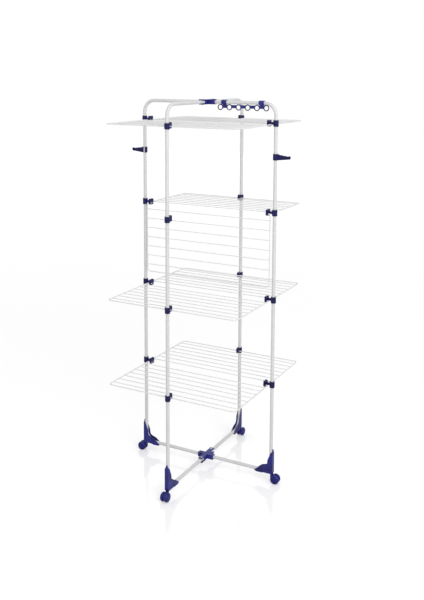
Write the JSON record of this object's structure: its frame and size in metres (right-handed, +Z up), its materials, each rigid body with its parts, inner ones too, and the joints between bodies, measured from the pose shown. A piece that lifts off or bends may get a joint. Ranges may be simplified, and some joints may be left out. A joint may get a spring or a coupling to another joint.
{
  "type": "tower clothes airer",
  "caption": "Free-standing tower airer: crossed tube frames on castors with folding wire wings at each level, a hanger rack and hanger arms.",
  "frame": {"origin": "on the floor under the tower's middle axis", "axes": "+Z up; +X from the left to the right post of the main frame; +Y from the front to the rear leg frame"},
  "size_m": [0.831, 0.812, 1.7858],
  "materials": {
    "powder_coat": "satin white powder coat",
    "blue_plastic": "moulded blue plastic",
    "bush_plastic": "moulded blue plastic",
    "steel": "zinc plated"
  },
  "bodies": {
    "main_frame": {"main_top_hoop": "powder_coat", "main_base_hoop": "powder_coat", "top_hub": "blue_plastic", "base_hub": "blue_plastic", "front_top_pivot_pin": "steel", "front_base_pivot_pin": "steel", "rear_top_pivot_pin": "steel", "rear_base_pivot_pin": "steel", "left_foot_bracket": "blue_plastic", "right_foot_bracket": "blue_plastic", "left_wing_bracket_1": "blue_plastic", "left_wing_bracket_2": "blue_plastic", "left_wing_bracket_3": "blue_plastic", "left_wing_bracket_4": "blue_plastic", "right_wing_bracket_1": "blue_plastic", "right_wing_bracket_2": "blue_plastic", "right_wing_bracket_3": "blue_plastic", "right_wing_bracket_4": "blue_plastic", "front_wing_bush_2": "bush_plastic"},
    "front_leg": {"front_leg_top_tube": "powder_coat", "front_leg_base_tube": "powder_coat", "front_foot_bracket": "blue_plastic", "front_catch_1": "blue_plastic", "front_catch_2": "blue_plastic", "front_catch_3": "blue_plastic", "front_catch_4": "blue_plastic"},
    "rear_leg": {"rear_leg_top_tube": "powder_coat", "rear_leg_base_tube": "powder_coat", "rear_foot_bracket": "blue_plastic", "rear_catch_1": "blue_plastic", "rear_catch_2": "blue_plastic", "rear_catch_3": "blue_plastic", "rear_catch_4": "blue_plastic"},
    "front_wing_1": {"front_wing_1": "powder_coat"},
    "front_wing_bush_1": {"front_wing_bush_1": "bush_plastic"},
    "front_wing_2": {"front_wing_2": "powder_coat"},
    "front_wing_3": {"front_wing_3": "powder_coat"},
    "front_wing_bush_3": {"front_wing_bush_3": "bush_plastic"},
    "front_wing_4": {"front_wing_4": "powder_coat"},
    "front_wing_bush_4": {"front_wing_bush_4": "bush_plastic"},
    "rear_wing_1": {"rear_wing_1": "powder_coat"},
    "rear_wing_bush_1": {"rear_wing_bush_1": "bush_plastic"},
    "rear_wing_2": {"rear_wing_2": "powder_coat"},
    "rear_wing_bush_2": {"rear_wing_bush_2": "bush_plastic"},
    "rear_wing_3": {"rear_wing_3": "powder_coat"},
    "rear_wing_bush_3": {"rear_wing_bush_3": "bush_plastic"},
    "rear_wing_4": {"rear_wing_4": "powder_coat"},
    "rear_wing_bush_4": {"rear_wing_bush_4": "bush_plastic"},
    "left_hanger_arm": {"left_hanger_arm": "blue_plastic"},
    "right_hanger_arm": {"right_hanger_arm": "blue_plastic"},
    "hanger_rack": {"hanger_rack": "blue_plastic"},
    "left_castor_body": {"left_castor_body": "blue_plastic"},
    "left_castor_wheels": {"left_castor_wheels": "blue_plastic"},
    "right_castor_body": {"right_castor_body": "blue_plastic"},
    "right_castor_wheels": {"right_castor_wheels": "blue_plastic"},
    "front_castor_body": {"front_castor_body": "blue_plastic"},
    "front_castor_wheels": {"front_castor_wheels": "blue_plastic"},
    "rear_castor_body": {"rear_castor_body": "blue_plastic"},
    "rear_castor_wheels": {"rear_castor_wheels": "blue_plastic"}
  },
  "joints": [
    {"name": "front_leg_fold", "type": "hinge", "parent": "main_frame", "child": "front_leg", "pos_m": [0, -0.05, 0], "axis": [0, 0, 1], "range_deg": [0, 90]},
    {"name": "rear_leg_fold", "type": "hinge", "parent": "main_frame", "child": "rear_leg", "pos_m": [0, 0.05, 0], "axis": [0, 0, 1], "range_deg": [0, 90]},
    {"name": "front_wing_1_stow", "type": "hinge", "parent": "main_frame", "child": "front_wing_bush_1", "pos_m": [0, -0.009, 1.679], "axis": [-1, 0, 0], "range_deg": [-90, 0]},
    {"name": "front_wing_1_fold", "type": "hinge", "parent": "front_wing_bush_1", "child": "front_wing_1", "pos_m": [0, -0.009, 1.679], "axis": [-1, 0, 0], "range_deg": [-90, 0]},
    {"name": "front_wing_2_fold", "type": "hinge", "parent": "main_frame", "child": "front_wing_2", "pos_m": [0, -0.009, 1.277], "axis": [1, 0, 0], "range_deg": [-90, 0]},
    {"name": "front_wing_3_stow", "type": "hinge", "parent": "main_frame", "child": "front_wing_bush_3", "pos_m": [0, -0.009, 0.875], "axis": [-1, 0, 0], "range_deg": [-90, 0]},
    {"name": "front_wing_3_fold", "type": "hinge", "parent": "front_wing_bush_3", "child": "front_wing_3", "pos_m": [0, -0.009, 0.875], "axis": [-1, 0, 0], "range_deg": [-90, 0]},
    {"name": "front_wing_4_stow", "type": "hinge", "parent": "main_frame", "child": "front_wing_bush_4", "pos_m": [0, -0.009, 0.473], "axis": [-1, 0, 0], "range_deg": [-90, 0]},
    {"name": "front_wing_4_fold", "type": "hinge", "parent": "front_wing_bush_4", "child": "front_wing_4", "pos_m": [0, -0.009, 0.473], "axis": [-1, 0, 0], "range_deg": [-90, 0]},
    {"name": "rear_wing_1_stow", "type": "hinge", "parent": "main_frame", "child": "rear_wing_bush_1", "pos_m": [0, 0.009, 1.679], "axis": [1, 0, 0], "range_deg": [-90, 0]},
    {"name": "rear_wing_1_fold", "type": "hinge", "parent": "rear_wing_bush_1", "child": "rear_wing_1", "pos_m": [0, 0.009, 1.679], "axis": [1, 0, 0], "range_deg": [-90, 0]},
    {"name": "rear_wing_2_stow", "type": "hinge", "parent": "main_frame", "child": "rear_wing_bush_2", "pos_m": [0, 0.009, 1.277], "axis": [1, 0, 0], "range_deg": [-90, 0]},
    {"name": "rear_wing_2_fold", "type": "hinge", "parent": "rear_wing_bush_2", "child": "rear_wing_2", "pos_m": [0, 0.009, 1.277], "axis": [1, 0, 0], "range_deg": [-90, 0]},
    {"name": "rear_wing_3_stow", "type": "hinge", "parent": "main_frame", "child": "rear_wing_bush_3", "pos_m": [0, 0.009, 0.875], "axis": [1, 0, 0], "range_deg": [-90, 0]},
    {"name": "rear_wing_3_fold", "type": "hinge", "parent": "rear_wing_bush_3", "child": "rear_wing_3", "pos_m": [0, 0.009, 0.875], "axis": [1, 0, 0], "range_deg": [-90, 0]},
    {"name": "rear_wing_4_stow", "type": "hinge", "parent": "main_frame", "child": "rear_wing_bush_4", "pos_m": [0, 0.009, 0.473], "axis": [1, 0, 0], "range_deg": [-90, 0]},
    {"name": "rear_wing_4_fold", "type": "hinge", "parent": "rear_wing_bush_4", "child": "rear_wing_4", "pos_m": [0, 0.009, 0.473], "axis": [1, 0, 0], "range_deg": [-90, 0]},
    {"name": "left_hanger_arm_turn", "type": "hinge", "parent": "main_frame", "child": "left_hanger_arm", "pos_m": [-0.344, 0, 1.535], "axis": [0, 0, 1], "range_deg": [-90, 90]},
    {"name": "right_hanger_arm_turn", "type": "hinge", "parent": "main_frame", "child": "right_hanger_arm", "pos_m": [0.344, 0, 1.535], "axis": [0, 0, 1], "range_deg": [-90, 90]},
    {"name": "hanger_rack_tip", "type": "hinge", "parent": "main_frame", "child": "hanger_rack", "pos_m": [0.181, 0, 1.773], "axis": [1, 0, 0], "range_deg": [-75, 75]},
    {"name": "left_castor_swivel", "type": "hinge", "parent": "main_frame", "child": "left_castor_body", "pos_m": [-0.349, 0, 0.0437], "axis": [0, 0, 1], "continuous": true},
    {"name": "left_castor_roll", "type": "hinge", "parent": "left_castor_body", "child": "left_castor_wheels", "pos_m": [-0.367, 0, 0.021], "axis": [0, 1, 0], "continuous": true},
    {"name": "right_castor_swivel", "type": "hinge", "parent": "main_frame", "child": "right_castor_body", "pos_m": [0.349, 0, 0.0437], "axis": [0, 0, 1], "continuous": true},
    {"name": "right_castor_roll", "type": "hinge", "parent": "right_castor_body", "child": "right_castor_wheels", "pos_m": [0.367, 0, 0.021], "axis": [0, 1, 0], "continuous": true},
    {"name": "front_castor_swivel", "type": "hinge", "parent": "front_leg", "child": "front_castor_body", "pos_m": [0, -0.367, 0.0437], "axis": [0, 0, 1], "continuous": true},
    {"name": "front_castor_roll", "type": "hinge", "parent": "front_castor_body", "child": "front_castor_wheels", "pos_m": [0, -0.385, 0.021], "axis": [1, 0, 0], "continuous": true},
    {"name": "rear_castor_swivel", "type": "hinge", "parent": "rear_leg", "child": "rear_castor_body", "pos_m": [0, 0.367, 0.0437], "axis": [0, 0, 1], "continuous": true},
    {"name": "rear_castor_roll", "type": "hinge", "parent": "rear_castor_body", "child": "rear_castor_wheels", "pos_m": [0, 0.385, 0.021], "axis": [1, 0, 0], "continuous": true}
  ],
  "couplings": [
    {"joint": "front_wing_1_stow", "follows": "front_leg_fold", "ratio": -1},
    {"joint": "front_wing_3_stow", "follows": "front_leg_fold", "ratio": -1},
    {"joint": "front_wing_4_stow", "follows": "front_leg_fold", "ratio": -1},
    {"joint": "rear_wing_1_stow", "follows": "rear_leg_fold", "ratio": -1},
    {"joint": "rear_wing_2_stow", "follows": "rear_leg_fold", "ratio": -1},
    {"joint": "rear_wing_3_stow", "follows": "rear_leg_fold", "ratio": -1},
    {"joint": "rear_wing_4_stow", "follows": "rear_leg_fold", "ratio": -1}
  ]
}
